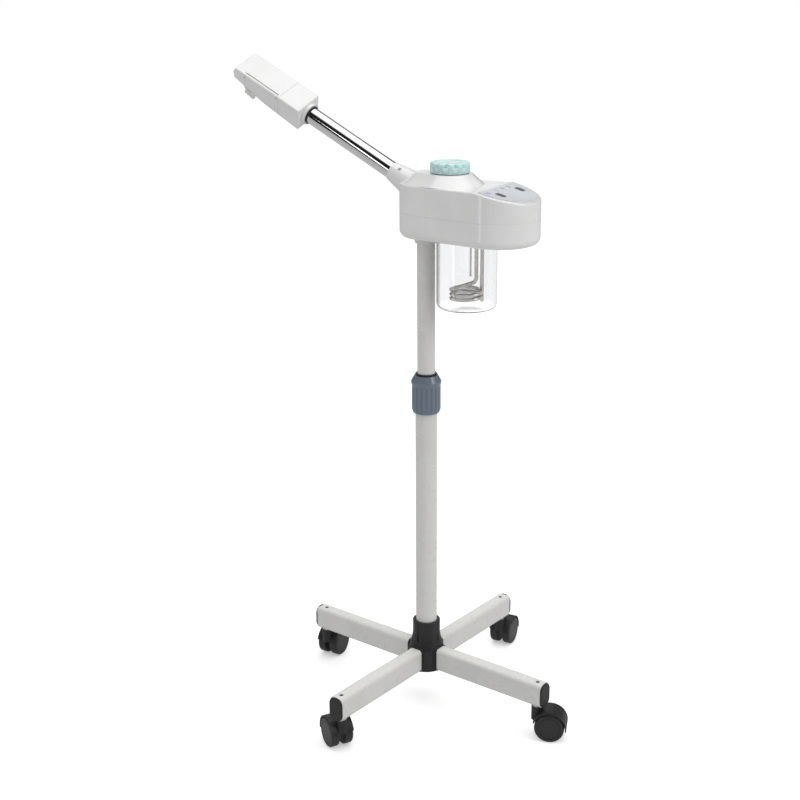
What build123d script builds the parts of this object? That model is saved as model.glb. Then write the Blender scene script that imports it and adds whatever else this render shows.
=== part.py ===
from build123d import *
from math import atan2, cos, degrees, radians, sin, tan
import os

os.makedirs("parts", exist_ok=True)

# Facial steamer on a rolling stand. Millimetres, +Z up. The origin is where the pole's axis meets the
# floor. The steam arm leaves the head towards -X and the control panel faces +X.

running_gap = 0.05  # radial clearance of a shaft that turns or slides in its bore
loose_gap = 0.35  # clearance between curved faces that never touch

# Casters
wheel_radius = 25.0
wheel_width = 15.0
wheel_gap = 9.0  # between the two wheels of one caster
wheel_cover = 2.5  # closed outer face of a wheel
axle_radius = 3.0
caster_trail = 22.0  # from the swivel axis back to the axle
hood_gap = 1.3
hood_wall = 2.2
hood_skirt = 4.0  # hood's rim below the axle
web_inset = 2.0  # web between the wheels, inside their tread below the rim
neck_radius = 9.5
neck_height = 4.0
stem_radius = 4.5
stem_flange = 3.0
stem_grip = 30.0  # length of stem inside the leg
stem_grip_radius = 5.5
caster_circle = 230.0  # radius on which the swivel axes stand
caster_headings = (20.0, 95.0, 92.0, 147.0)  # where each caster trails, in degrees from +X

# Legs and hub
leg_width = 25.0
leg_height = 40.0
leg_corner = 6.0
leg_wall = 1.5
leg_inner_end = 15.0
leg_overhang = 13.0  # tube beyond the caster's axis
leg_hole_radius = 3.5
plug_depth = 27.0
plug_plate = 3.0
plug_lip = 0.8
base_turn = -7.0  # direction of the first leg, in degrees from +X
hub_radius = 30.0
hub_shell = 2.0
hub_sleeve = 31.0
hub_collar_radius = 23.5
hub_collar_height = 45.0
screw_radius = 1.75
pole_bolt_radius = 4.0
foot_insert_height = 25.0

# Telescoping pole
tube_wall = 1.5
lower_tube_radius = 18.0
lower_tube_length = 478.0
upper_tube_radius = 14.7
upper_tube_length = 520.0
tube_overlap = 240.0  # upper tube inside the lower tube at rest
bush_height = 45.0
collet_height = 12.0
collar_radius = 23.9
collar_ridge_radius = 25.0
collar_skirt = 55.0  # collar below the lower tube's top
collar_cone = 9.0  # collar above it
collar_flutes = 18
flute_radius = 2.3

# Head shells: two round ends, joined by tangents
rear_x, rear_radius = 9.0, 50.0
front_x, front_radius = 129.0, 65.0
mast_seat = 40.5  # upper tube inside the head
lower_height = 40.0
deck_height = 46.0  # seam to the flat deck
deck_edge_x = 123.0  # where the deck starts to slope down to the front
deck_slope = 14.4
shell_wall = 2.6
bottom_round = 12.0
deck_round = 3.0
crease_round = 60.0  # between the flat and the sloping deck
crown_height = 17.0
crown_x, crown_radius = 43.0, 54.0
crown_inset = 3.0
crown_top_radius, crown_rear_radius = 35.0, 22.0
socket_radius = 18.2
socket_drop = 11.0  # pole socket below the head's underside
socket_height = 56.0
panel_margin = 6.0
panel_thickness = 1.2
key_length, key_width, key_spread = 14.0, 9.0, 64.0
key_back = 26.0
key_travel = 0.6

# Water side
jar_x, jar_radius = 74.0, 48.0
jar_wall = 3.0
jar_height = 124.0
jar_seat = 16.0  # jar's rim above the head's underside
jar_round = 8.0
gasket_thickness = 2.0
flange_thickness = 4.0
holder_radius = 50.5
coil_radius = 24.4
coil_pitch = 6.9
coil_turns = 2.5
coil_bottom = 12.0  # lowest turn's centre above the jar's underside
rod_radius = 3.1
rod_turn = 30.0  # direction of the rods from the jar's axis
rod_inner = 15.2
probe_offset, probe_radius, probe_length = 6.0, 1.5, 84.0
neck_x, neck_outer, neck_inner = 43.0, 14.0, 11.5
cap_radius, cap_height, cap_lobes = 31.0, 16.0, 13
cap_wall = 6.0
duct_radius, duct_wall = 7.0, 1.5

# Steam arm, measured along its axis from the outer end of its socket
arm_x, arm_rise = -62.0, 13.0  # its outer end, above the flat deck
arm_tilt = 27.5
arm_radius = 14.0
arm_wall = 1.2
arm_inside = 50.0
arm_length = 240.0
arm_visible = 178.0
arm_socket_wall, arm_socket_flare = 1.3, 8.5  # beyond the arm, at the socket's two ends
hose_radius, hose_wall = 12.3, 1.5

# Nozzle: x across, y down, z along the arm, from the nozzle's rear face on the arm's axis
nozzle_roll = 30.0
nozzle_width = 51.0
nozzle_clear = 7.0  # from the arm to the nozzle's top and underside
nozzle_length = 143.0
nozzle_wall = 2.5
nozzle_seam = 44.0
nozzle_round = 2.4
rear_wall = 4.0
facet_start, facet_drop = 78.0, 15.0  # where the underside turns up, and how low it is there
front_drop = 1.0  # underside at the front end
hinge_inset, hinge_radius = 2.8, 3.2
hinge_start, hinge_end = 48.0, 120.0
flap_thickness = 1.2
flap_lip = 3.0
flap_pin_radius = 1.2
outlet_neck, outlet_bore, outlet_radius = 16.9, 13.0, 25.0
outlet_gap, outlet_thickness = 1.3, 5.0
tab_width, tab_depth, tab_height, tab_inset = 20.0, 6.5, 12.0, 4.5

# Levels that follow from the sizes above
hood_radius = wheel_radius + hood_gap + hood_wall
neck_top = wheel_radius + hood_radius + neck_height
leg_bottom = neck_top + stem_flange
leg_top = leg_bottom + leg_height
tube_bottom = leg_top + hub_shell
tube_top = tube_bottom + lower_tube_length
collar_bottom = tube_top - collar_skirt
collar_top = tube_top + collar_cone
upper_bottom = tube_top - tube_overlap
upper_top = upper_bottom + upper_tube_length
head_bottom = upper_top - mast_seat
seam = head_bottom + lower_height
deck = seam + deck_height
crown_top = deck + crown_height
jar_top = head_bottom + jar_seat
jar_bottom = jar_top - jar_height
flange_bottom = jar_top + gasket_thickness
flange_top = flange_bottom + flange_thickness
nozzle_half = arm_radius + nozzle_clear
arm_frame = Plane(
    origin=(arm_x, 0, deck + arm_rise),
    x_dir=(0, 1, 0),
    z_dir=(-cos(radians(arm_tilt)), 0, sin(radians(arm_tilt))),
)
nozzle_frame = Plane(
    origin=arm_frame.origin + arm_frame.z_dir * (arm_visible + 2),
    x_dir=Vector(0, 1, 0).rotate(Axis((0, 0, 0), arm_frame.z_dir), -nozzle_roll),
    z_dir=arm_frame.z_dir,
)


def save(piece, label, place=Location()):
    shape = piece.part.moved(place)
    shape.label = label
    export_step(shape, f"parts/{label}.step")


def ring(outer, inner, bottom, top, x=0.0):
    """Upright ring or disc between two levels."""
    with BuildPart() as piece:
        with BuildSketch(Plane.XY.offset(bottom)):
            with Locations((x, 0)):
                Circle(outer)
                if inner > 0:
                    Circle(inner, mode=Mode.SUBTRACT)
        extrude(amount=top - bottom)
    return piece


# Caster pieces, drawn with the swivel axis on Z and the wheels trailing towards +X

with BuildPart() as wheel:  # its axis is Y, its closed face looks to +Y
    with BuildSketch():
        with Locations((wheel_radius / 2, wheel_width / 2)):
            Rectangle(wheel_radius, wheel_width)
    revolve(axis=Axis.Y)
    tread = wheel.edges().filter_by(GeomType.CIRCLE).filter_by(lambda e: e.radius > wheel_radius - 0.1)
    fillet(tread, radius=wheel_width / 5)
    with BuildSketch(Plane.XZ):
        Circle(axle_radius + running_gap)
    extrude(amount=-(wheel_width - wheel_cover), mode=Mode.SUBTRACT)
    with BuildSketch(Plane.XZ.offset(-wheel_width)):
        Circle(wheel_radius * 0.76)
        Circle(wheel_radius * 0.72, mode=Mode.SUBTRACT)
    extrude(amount=0.8, mode=Mode.SUBTRACT)

with BuildPart() as axle:
    with BuildSketch(Plane.XZ):
        Circle(axle_radius)
    extrude(amount=wheel_gap / 2 + wheel_width - wheel_cover - 0.3, both=True)

with BuildPart() as hood:
    well_start = wheel_gap / 2 - 0.7
    hood_half = wheel_gap / 2 + wheel_width - 0.5
    with BuildSketch(Plane.XZ):
        with Locations((caster_trail, wheel_radius)):
            Circle(hood_radius)
    extrude(amount=hood_half, both=True)
    with BuildSketch(Plane.XY.offset(wheel_radius + 4)):
        Circle(neck_radius)
    extrude(amount=neck_top - 0.3 - wheel_radius - 4)
    with BuildSketch(Plane.XZ) as wells:
        with Locations((caster_trail, wheel_radius)):
            Circle(wheel_radius + hood_gap)
        with Locations((caster_trail, 0)):
            Rectangle(2 * hood_radius + 2, 2 * (wheel_radius - hood_skirt))
        with Locations((-neck_radius, 0)):
            Rectangle(2 * neck_radius, 2 * (wheel_radius + 8))
    for side in (-1, 1):
        wells_face = wells.sketch.moved(Location((0, side * well_start, 0)))
        extrude(wells_face, amount=-side * hood_half, mode=Mode.SUBTRACT)
    with BuildSketch(Plane.XZ):
        with Locations((caster_trail, 0)):
            Rectangle(2 * hood_radius + 2, 2 * (wheel_radius - hood_skirt))
        with Locations((caster_trail, wheel_radius)):
            Circle(wheel_radius - web_inset, mode=Mode.SUBTRACT)
    extrude(amount=wheel_gap, both=True, mode=Mode.SUBTRACT)
    with BuildSketch(Plane.XY.offset(wheel_radius - hood_radius - 1)):
        with Locations((caster_trail, 0)):
            Rectangle(4 * hood_radius, 4 * wheel_gap)
    extrude(amount=hood_radius - wheel_radius * 0.8, mode=Mode.SUBTRACT)
    with BuildSketch(Plane.XY.offset(wheel_radius + 9)):
        Circle(stem_radius + running_gap)
    extrude(amount=neck_top, mode=Mode.SUBTRACT)
    with BuildSketch(Plane.XZ):
        with Locations((caster_trail, wheel_radius)):
            Circle(axle_radius)
    extrude(amount=wheel_gap, both=True, mode=Mode.SUBTRACT)

with BuildPart() as stem:
    with BuildSketch(Plane.XY.offset(wheel_radius + 9.5)):
        Circle(stem_radius)
    extrude(amount=neck_top - wheel_radius - 9.5)
    with BuildSketch(Plane.XY.offset(neck_top)):
        Circle(neck_radius - 1)
    extrude(amount=stem_flange)
    with BuildSketch(Plane.XY.offset(leg_bottom)):
        Circle(stem_grip_radius)
    extrude(amount=stem_grip)


# Leg and end plug, drawn along +X

leg_end = caster_circle + leg_overhang


def leg_plane(x):
    return Plane(origin=(x, 0, leg_bottom + leg_height / 2), x_dir=(0, 1, 0), z_dir=(1, 0, 0))


def leg_section(inset):
    RectangleRounded(leg_width - 2 * inset, leg_height - 2 * inset, leg_corner - inset)


with BuildPart() as leg:
    with BuildSketch(leg_plane(leg_inner_end)):
        leg_section(0)
    extrude(amount=leg_end - leg_inner_end)
    with BuildSketch(leg_plane(leg_inner_end)):
        leg_section(leg_wall)
    extrude(amount=leg_end - leg_inner_end, mode=Mode.SUBTRACT)
    with BuildSketch(Plane.XY.offset(leg_bottom)):
        with Locations((caster_circle, 0)):
            Circle(stem_grip_radius)
        with Locations((hub_radius - 6, 0)):
            Circle(screw_radius)
    extrude(amount=leg_height / 2, mode=Mode.SUBTRACT)
    with BuildSketch(Plane.XY.offset(leg_top)):
        with Locations((caster_circle, 0)):
            Circle(leg_hole_radius)
    extrude(amount=-leg_height / 2, mode=Mode.SUBTRACT)

with BuildPart() as plug:
    with BuildSketch(leg_plane(leg_end - plug_depth)):
        leg_section(leg_wall)
    extrude(amount=plug_depth)
    with BuildSketch(leg_plane(leg_end)) as plate:
        Rectangle(leg_width + 2 * plug_lip, leg_height + 2 * plug_lip)
        corners = plate.vertices().group_by(Axis.Z)
        fillet(corners[-1], radius=leg_width / 2)
        fillet(plate.vertices().group_by(Axis.Z)[0], radius=leg_corner * 0.8)
    extrude(amount=plug_plate)
    fillet(plug.faces().sort_by(Axis.X)[-1].edges(), radius=plug_plate / 2)
    with BuildSketch(Plane.XY.offset(leg_bottom)):
        with Locations((caster_circle, 0)):
            Circle(stem_grip_radius)
    extrude(amount=stem_grip, mode=Mode.SUBTRACT)
    with BuildSketch(Plane.XY.offset(leg_bottom)):
        with Locations((caster_circle, 0)):
            Circle(leg_hole_radius)
    extrude(amount=leg_height, mode=Mode.SUBTRACT)

leg_places, caster_places = [], []
for number in range(4):
    turn = base_turn + 90 * number
    leg_place = Location((0, 0, 0), (0, 0, turn))
    save(leg, f"leg_{number + 1}", leg_place)
    leg_places.append(leg_place)
    spot = (caster_circle * cos(radians(turn)), caster_circle * sin(radians(turn)), 0)
    caster = Location(spot, (0, 0, caster_headings[number]))
    axle_place = caster * Location((caster_trail, 0, wheel_radius))
    caster_places.append(caster)
    save(hood, f"caster_hood_{number + 1}", caster)
    save(axle, f"caster_axle_{number + 1}", axle_place)
    save(wheel, f"wheel_{number + 1}_a", axle_place * Location((0, wheel_gap / 2, 0)))
    save(wheel, f"wheel_{number + 1}_b", axle_place * Location((0, -wheel_gap / 2, 0), (0, 0, 180)))

with BuildPart() as leg_plugs:
    for place in leg_places:
        add(plug.part.moved(place))
save(leg_plugs, "leg_plugs")

with BuildPart() as caster_stems:
    for place in caster_places:
        add(stem.part.moved(place))
save(caster_stems, "caster_stems")


# Hub, its screws and the pole's fixing

hub_bottom = leg_bottom - hub_shell
hub_top = tube_bottom + hub_collar_height
leg_turns = [base_turn + 90 * number for number in range(4)]

with BuildPart() as sleeve:
    with BuildSketch(leg_plane(leg_inner_end)):
        leg_section(-hub_shell)
    extrude(amount=hub_sleeve - leg_inner_end)
    fillet(sleeve.faces().sort_by(Axis.X)[-1].edges(), radius=hub_shell / 2)

with BuildPart() as leg_pocket:
    with BuildSketch(leg_plane(leg_inner_end)):
        leg_section(0)
    extrude(amount=hub_sleeve)

with BuildPart() as hub:
    with BuildSketch(Plane.XZ):
        with BuildLine():
            Polyline(
                (0, hub_bottom),
                (hub_radius, hub_bottom),
                (hub_radius, leg_top - 4),
                (hub_collar_radius + 1.5, leg_top + 14),
                (hub_collar_radius, leg_top + 24),
                (hub_collar_radius, hub_top),
                (0, hub_top),
                close=True,
            )
        make_face()
    revolve(axis=Axis.Z)
    rims = hub.edges().filter_by(GeomType.CIRCLE).group_by(Axis.Z)
    fillet(rims[1] + rims[2] + rims[3], radius=5)
    fillet(hub.edges().group_by(Axis.Z)[-1], radius=1.5)
    for turn in leg_turns:
        add(sleeve.part.rotate(Axis.Z, turn))
    for turn in leg_turns:
        add(leg_pocket.part.rotate(Axis.Z, turn), mode=Mode.SUBTRACT)
    with BuildSketch(Plane.XY.offset(tube_bottom)):
        Circle(lower_tube_radius)
    extrude(amount=hub_top, mode=Mode.SUBTRACT)
    with BuildSketch(Plane.XY.offset(hub_bottom)):
        Circle(pole_bolt_radius)
        with PolarLocations(hub_radius - 6, 4, start_angle=base_turn):
            Circle(screw_radius)
    extrude(amount=hub_top, mode=Mode.SUBTRACT)
save(hub, "hub")

with BuildPart() as hub_screws:
    with BuildSketch(Plane.XY.offset(hub_bottom - 2)):
        with PolarLocations(hub_radius - 6, 4, start_angle=base_turn):
            Circle(2 * screw_radius)
    extrude(amount=2)
    fillet(hub_screws.edges().group_by(Axis.Z)[0], radius=0.8)
    with BuildSketch(Plane.XY.offset(hub_bottom)):
        with PolarLocations(hub_radius - 6, 4, start_angle=base_turn):
            Circle(screw_radius)
    extrude(amount=12)
save(hub_screws, "hub_screws")

with BuildPart() as pole_bolt:
    with BuildSketch(Plane.XY.offset(hub_bottom - 5)):
        RegularPolygon(2 * pole_bolt_radius, 6)
    extrude(amount=5)
    with BuildSketch(Plane.XY.offset(hub_bottom)):
        Circle(pole_bolt_radius)
    extrude(amount=tube_bottom - hub_bottom + foot_insert_height - 3)
save(pole_bolt, "pole_bolt")

lower_bore = lower_tube_radius - tube_wall
foot_insert = ring(lower_bore, pole_bolt_radius, tube_bottom, tube_bottom + foot_insert_height)
save(foot_insert, "pole_foot_insert")


# Telescoping pole

lower_tube = ring(lower_tube_radius, lower_bore, tube_bottom, tube_top)
save(lower_tube, "lower_tube")
upper_tube = ring(upper_tube_radius, upper_tube_radius - tube_wall, upper_bottom, upper_top)
save(upper_tube, "upper_tube")

slide_bore = upper_tube_radius + running_gap
with BuildPart() as glide_ring:
    with BuildSketch(Plane.XY.offset(upper_bottom - 5)):
        Circle(lower_bore - 2 * running_gap)
        Circle(upper_tube_radius - 4, mode=Mode.SUBTRACT)
    extrude(amount=5)
    with BuildSketch(Plane.XY.offset(upper_bottom)):
        Circle(lower_bore - 2 * running_gap)
        Circle(upper_tube_radius, mode=Mode.SUBTRACT)
    extrude(amount=15)
save(glide_ring, "glide_ring")

with BuildPart() as guide_bush:  # its split upper end is the collet that the collar squeezes
    with BuildSketch(Plane.XY.offset(tube_top - bush_height)):
        Circle(lower_bore)
    extrude(amount=bush_height)
    with BuildSketch(Plane.XY.offset(tube_top)):
        Circle(lower_tube_radius - 0.25)
    extrude(amount=collet_height)
    fillet(guide_bush.edges().group_by(Axis.Z)[-1], radius=0.6)
    with BuildSketch(Plane.XY.offset(tube_top - bush_height)):
        Circle(slide_bore)
    extrude(amount=bush_height + collet_height, mode=Mode.SUBTRACT)
    with BuildSketch(Plane.XY.offset(tube_top + collet_height / 3)):
        with PolarLocations(slide_bore, 4):
            Rectangle(8, 1.2)
    extrude(amount=collet_height, mode=Mode.SUBTRACT)
save(guide_bush, "guide_bush")

with BuildPart() as height_collar:
    ridge = tube_top - 3
    with BuildSketch(Plane.XZ):
        with BuildLine():
            Polyline(
                (lower_tube_radius + running_gap, collar_bottom),
                (collar_radius - 2, collar_bottom),
                (collar_radius, collar_bottom + 6),
                (collar_radius, ridge - 5),
                (collar_ridge_radius, ridge - 2),
                (collar_ridge_radius, ridge + 2),
                (lower_tube_radius + 1.4, collar_top),
                (lower_tube_radius + running_gap, collar_top),
                close=True,
            )
        make_face()
    revolve(axis=Axis.Z)
    outer_rims = height_collar.edges().filter_by(GeomType.CIRCLE)
    outer_rims = outer_rims.filter_by(lambda e: e.radius > collar_radius - 0.5)
    fillet(outer_rims, radius=1.0)
    with BuildSketch(Plane.XY.offset(collar_bottom + 4)):
        with PolarLocations(collar_radius + flute_radius * 0.45, collar_flutes):
            Circle(flute_radius)
    extrude(amount=collar_skirt - 14, mode=Mode.SUBTRACT)
save(height_collar, "height_collar")


# Head shells


def head_outline(inset, back_radius=rear_radius, wide_x=front_x, wide_radius=front_radius):
    with Locations((rear_x, 0)):
        Circle(back_radius - inset)
    with Locations((wide_x, 0)):
        Circle(wide_radius - inset)
    make_hull()


def front_wedge(drop):
    """Everything above the sloping front of the deck, lowered by drop."""
    fall = tan(radians(deck_slope))
    with BuildPart() as wedge:
        with BuildSketch(Plane.XZ):
            with BuildLine():
                Polyline(
                    (deck_edge_x, deck - drop),
                    (deck_edge_x + 120, deck - drop - 120 * fall),
                    (deck_edge_x + 120, deck + 60),
                    (deck_edge_x, deck + 60),
                    close=True,
                )
            make_face()
        extrude(amount=2 * front_radius, both=True)
    return wedge.part


def crown_body(inset, bottom, top):
    with BuildPart() as crown:
        with BuildSketch(Plane.XY.offset(bottom)):
            head_outline(crown_inset + inset, wide_x=crown_x, wide_radius=crown_radius + crown_inset)
        with BuildSketch(Plane.XY.offset(top)):
            head_outline(inset, crown_rear_radius, crown_x, crown_top_radius)
        loft(ruled=True)
    return crown.part


def socket_body(widen, start, end):
    """Flared cone round the arm, from start to end along the arm."""
    with BuildPart() as cone:
        with BuildSketch(arm_frame.offset(end)):
            Circle(arm_radius + arm_socket_wall + widen)
        with BuildSketch(arm_frame.offset(start)):
            Circle(arm_radius + arm_socket_flare + widen)
        loft()
    return cone.part


def tongue(gap, bottom, top):
    """Rim inside the shell wall, which locates the upper shell."""
    with BuildPart() as rim:
        with BuildSketch(Plane.XY.offset(bottom)):
            head_outline(shell_wall + gap)
        extrude(amount=top - bottom)
        with BuildSketch(Plane.XY.offset(bottom)):
            head_outline(shell_wall + 1.6)
        extrude(amount=top - bottom, mode=Mode.SUBTRACT)
    return rim.part


posts = [(rear_x - 24, 33), (rear_x - 24, -33), (front_x + 30, 43), (front_x + 30, -43)]
post_radius = 3.5
jar_hole = jar_radius + 1.4

with BuildPart() as lower_cavity:
    with BuildSketch(Plane.XY.offset(head_bottom + shell_wall)):
        head_outline(shell_wall)
    extrude(amount=lower_height)
    fillet(lower_cavity.edges().group_by(Axis.Z)[0], radius=bottom_round - shell_wall)

inlet_x, inlet_length, inlet_width, inlet_depth = 148.0, 20.0, 27.0, 22.0

with BuildPart() as lower_shell:
    with BuildSketch(Plane.XY.offset(head_bottom)):
        head_outline(0)
    extrude(amount=lower_height)
    fillet(lower_shell.edges().group_by(Axis.Z)[0], radius=bottom_round)
    chamfer(lower_shell.edges().group_by(Axis.Z)[-1], length=0.5)
    add(lower_cavity.part, mode=Mode.SUBTRACT)
    add(tongue(0, seam - 6, seam))
    add(tongue(2 * running_gap, seam - 6, seam + 3))
    with BuildSketch(Plane.XY.offset(head_bottom + shell_wall)):
        with Locations(*posts):
            Circle(post_radius)
    extrude(amount=lower_height - shell_wall)
    with BuildSketch(Plane.XY.offset(head_bottom - 1)):
        Circle(socket_radius)
        with Locations((jar_x, 0)):
            Circle(jar_hole)
        with Locations((inlet_x, 0)):
            RectangleRounded(inlet_length, inlet_width, 3)
    extrude(amount=2 * bottom_round, mode=Mode.SUBTRACT)
    with BuildSketch(Plane.XY.offset(head_bottom - 1)):
        with Locations(*posts):
            Circle(screw_radius)
    extrude(amount=lower_height + 2, mode=Mode.SUBTRACT)
    with BuildSketch(Plane.XY.offset(head_bottom - 1)):
        with Locations(*posts):
            Circle(2 * screw_radius - 0.5)
    extrude(amount=5, mode=Mode.SUBTRACT)
save(lower_shell, "lower_shell")

with BuildPart() as upper_cavity:
    with BuildSketch(Plane.XY.offset(seam)):
        head_outline(shell_wall)
    extrude(amount=deck_height - shell_wall)
    add(front_wedge(shell_wall), mode=Mode.SUBTRACT)
    add(crown_body(shell_wall + 1, deck - shell_wall - 1, crown_top - shell_wall))

panel_frame = Plane(
    origin=(deck_edge_x, 0, deck),
    x_dir=(cos(radians(deck_slope)), 0, -sin(radians(deck_slope))),
    z_dir=(sin(radians(deck_slope)), 0, cos(radians(deck_slope))),
)

with BuildPart() as upper_shell:
    with BuildSketch(Plane.XY.offset(seam)):
        head_outline(0)
    extrude(amount=deck_height)
    add(front_wedge(0), mode=Mode.SUBTRACT)
    crease = upper_shell.edges().filter_by(Axis.Y).filter_by(lambda e: abs(e.center().Z - deck) < 0.1)
    fillet(crease, radius=crease_round)
    wall_top = upper_shell.edges().filter_by(Axis.Y, reverse=True).filter_by(Axis.Z, reverse=True)
    fillet(wall_top.filter_by(lambda e: e.center().Z > seam + 1), radius=deck_round)
    chamfer(upper_shell.edges().group_by(Axis.Z)[0], length=0.5)
    add(crown_body(0, deck, crown_top))
    fillet(upper_shell.edges().group_by(Axis.Z)[-1], radius=4)
    add(upper_cavity.part, mode=Mode.SUBTRACT)
    with BuildSketch(Plane.XY.offset(seam)):
        with Locations(*posts):
            Circle(post_radius)
    extrude(until=Until.NEXT)
    with BuildSketch(Plane.XY.offset(seam)):
        with Locations(*posts):
            Circle(screw_radius)
    extrude(amount=16, mode=Mode.SUBTRACT)
    with BuildSketch(Plane.XY.offset(deck)):
        with Locations((neck_x, 0)):
            Circle(neck_outer)
    extrude(amount=2 * crown_height, mode=Mode.SUBTRACT)
    add(socket_body(0, -40, 0), mode=Mode.SUBTRACT)
    with BuildSketch(arm_frame.offset(-arm_inside - 5)):
        Circle(arm_radius + loose_gap)
    extrude(amount=arm_inside, mode=Mode.SUBTRACT)
save(upper_shell, "upper_shell")


# Control panel and the electrics under it

key_spots = [(key_back, -key_spread / 2), (key_back, key_spread / 2)]

with BuildPart() as control_panel:
    with BuildSketch(panel_frame):
        with Locations((front_x - deck_edge_x, 0)):
            Circle(front_radius - panel_margin)
        with Locations((-front_radius, 0)):
            Rectangle(2 * front_radius, 2 * front_radius, mode=Mode.SUBTRACT)
        with Locations(*key_spots):
            RectangleRounded(key_length + 0.8, key_width + 0.8, 2.4, mode=Mode.SUBTRACT)
    extrude(amount=panel_thickness)
save(control_panel, "control_panel")

for label, spot in zip(("steam_key", "ozone_key"), key_spots):
    with BuildPart() as key:
        with BuildSketch(panel_frame.offset(key_travel + 0.1)):
            with Locations(spot):
                RectangleRounded(key_length, key_width, 2)
        extrude(amount=panel_thickness)
        fillet(key.faces().sort_by(Axis.Z)[-1].edges(), radius=0.4)
    save(key, label)

with BuildPart() as circuit_board:
    board_level = head_bottom + 56
    with BuildSketch(Plane.XY.offset(board_level)):
        with Locations((inlet_x + 2, 0)):
            Rectangle(32, 72)
    extrude(amount=1.6)
    with BuildSketch(Plane.XY.offset(board_level)):
        with Locations((inlet_x + 4, -20), (inlet_x + 4, 6)):
            Rectangle(15, 19)
        with Locations((inlet_x - 4, 28)):
            Circle(5)
    extrude(amount=-14)
save(circuit_board, "circuit_board")

with BuildPart() as power_inlet:
    with BuildSketch(Plane.XY.offset(head_bottom)):
        with Locations((inlet_x, 0)):
            RectangleRounded(inlet_length, inlet_width, 3)
    extrude(amount=inlet_depth)
    with BuildSketch(Plane.XY.offset(head_bottom)):
        with Locations((inlet_x, 0)):
            RectangleRounded(inlet_length - 4, inlet_width - 4, 2)
    extrude(amount=inlet_depth - 4, mode=Mode.SUBTRACT)
    with BuildSketch(Plane.XY.offset(head_bottom + 3)):
        with Locations((inlet_x + 3, -6), (inlet_x + 3, 6), (inlet_x - 3, 0)):
            Rectangle(4, 2)
    extrude(amount=inlet_depth - 3)
save(power_inlet, "power_inlet")

with BuildPart() as shell_screws:
    with BuildSketch(Plane.XY.offset(head_bottom + 4)):
        with Locations(*posts):
            Circle(screw_radius)
    extrude(amount=lower_height + 8)
    with BuildSketch(Plane.XY.offset(head_bottom + 1.5)):
        with Locations(*posts):
            Circle(2 * screw_radius - 0.5)
    extrude(amount=2.5)
save(shell_screws, "shell_screws")

with BuildPart() as pole_socket:
    with BuildSketch(Plane.XY.offset(head_bottom - socket_drop)):
        Circle(socket_radius)
    extrude(amount=socket_height)
    fillet(pole_socket.edges().group_by(Axis.Z)[0], radius=1)
    with BuildSketch(Plane.XY.offset(head_bottom - socket_drop)):
        Circle(slide_bore)
    extrude(amount=upper_top - head_bottom + socket_drop + 0.5, mode=Mode.SUBTRACT)
save(pole_socket, "pole_socket")


# Boiler: jar, holder, flange, heating element and probe

with BuildPart() as glass_jar:
    with BuildSketch(Plane.XY.offset(jar_bottom)):
        with Locations((jar_x, 0)):
            Circle(jar_radius)
    extrude(amount=jar_height)
    fillet(glass_jar.edges().group_by(Axis.Z)[0], radius=jar_round)
    with BuildPart(mode=Mode.PRIVATE) as jar_cavity:
        with BuildSketch(Plane.XY.offset(jar_bottom + jar_wall)):
            with Locations((jar_x, 0)):
                Circle(jar_radius - jar_wall)
        extrude(amount=jar_height)
        fillet(jar_cavity.edges().group_by(Axis.Z)[0], radius=jar_round - jar_wall)
    add(jar_cavity.part, mode=Mode.SUBTRACT)
save(glass_jar, "glass_jar")

save(ring(jar_radius, jar_radius - 5, jar_top, flange_bottom, jar_x), "jar_gasket")
floor_top = head_bottom + shell_wall
with BuildPart() as jar_holder:
    add(ring(holder_radius, jar_radius + loose_gap, floor_top, flange_bottom, jar_x))
    add(lower_cavity.part, mode=Mode.INTERSECT)
save(jar_holder, "jar_holder")


def from_jar(distance, level):
    """Point beside the jar's axis, in the direction in which the rods stand."""
    side = radians(rod_turn)
    return Vector(jar_x + distance * cos(side), distance * sin(side), level)


coil_level = jar_bottom + coil_bottom
coil_height = coil_pitch * coil_turns
rod_top = flange_top + 8

with BuildPart() as heating_element:
    with BuildLine() as coil_path:
        Helix(coil_pitch, coil_height, coil_radius, center=(0, 0, 0))
    with BuildSketch(Plane(origin=coil_path.line @ 0, z_dir=coil_path.line % 0)):
        Circle(rod_radius)
    sweep(is_frenet=True)
coil = heating_element.part.moved(Location((jar_x, 0, coil_level), (0, 0, rod_turn)))

with BuildPart() as heating_element:
    add(coil)
    with BuildLine():
        FilletPolyline(
            from_jar(rod_inner, rod_top),
            from_jar(rod_inner, coil_level + coil_height + 12),
            from_jar(-coil_radius, coil_level + coil_height),
            radius=9,
        )
    with BuildSketch(Plane(origin=from_jar(rod_inner, rod_top), z_dir=(0, 0, -1))):
        Circle(rod_radius)
    sweep()
    with BuildSketch(Plane(origin=from_jar(coil_radius, coil_level))):
        Circle(rod_radius)
    extrude(amount=rod_top - coil_level)
    with Locations(from_jar(coil_radius, coil_level), from_jar(-coil_radius, coil_level + coil_height)):
        Sphere(rod_radius)
save(heating_element, "heating_element")

with BuildPart() as level_probe:
    with BuildSketch(Plane(origin=from_jar(probe_offset, flange_top + 4))):
        Circle(probe_radius)
    extrude(amount=-probe_length)
save(level_probe, "level_probe")

duct_x, duct_y = jar_x - 23, -24.0

with BuildPart() as boiler_flange:
    with BuildSketch(Plane.XY.offset(flange_bottom)):
        with Locations((jar_x, 0)):
            Circle(holder_radius)
        with Locations((neck_x, 0)):
            Circle(neck_inner, mode=Mode.SUBTRACT)
        with Locations((duct_x, duct_y)):
            Circle(duct_radius - duct_wall, mode=Mode.SUBTRACT)
        with Locations(from_jar(coil_radius, 0), from_jar(rod_inner, 0)):
            Circle(rod_radius, mode=Mode.SUBTRACT)
        with Locations(from_jar(probe_offset, 0)):
            Circle(probe_radius, mode=Mode.SUBTRACT)
    extrude(amount=flange_thickness)
save(boiler_flange, "boiler_flange")

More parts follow.
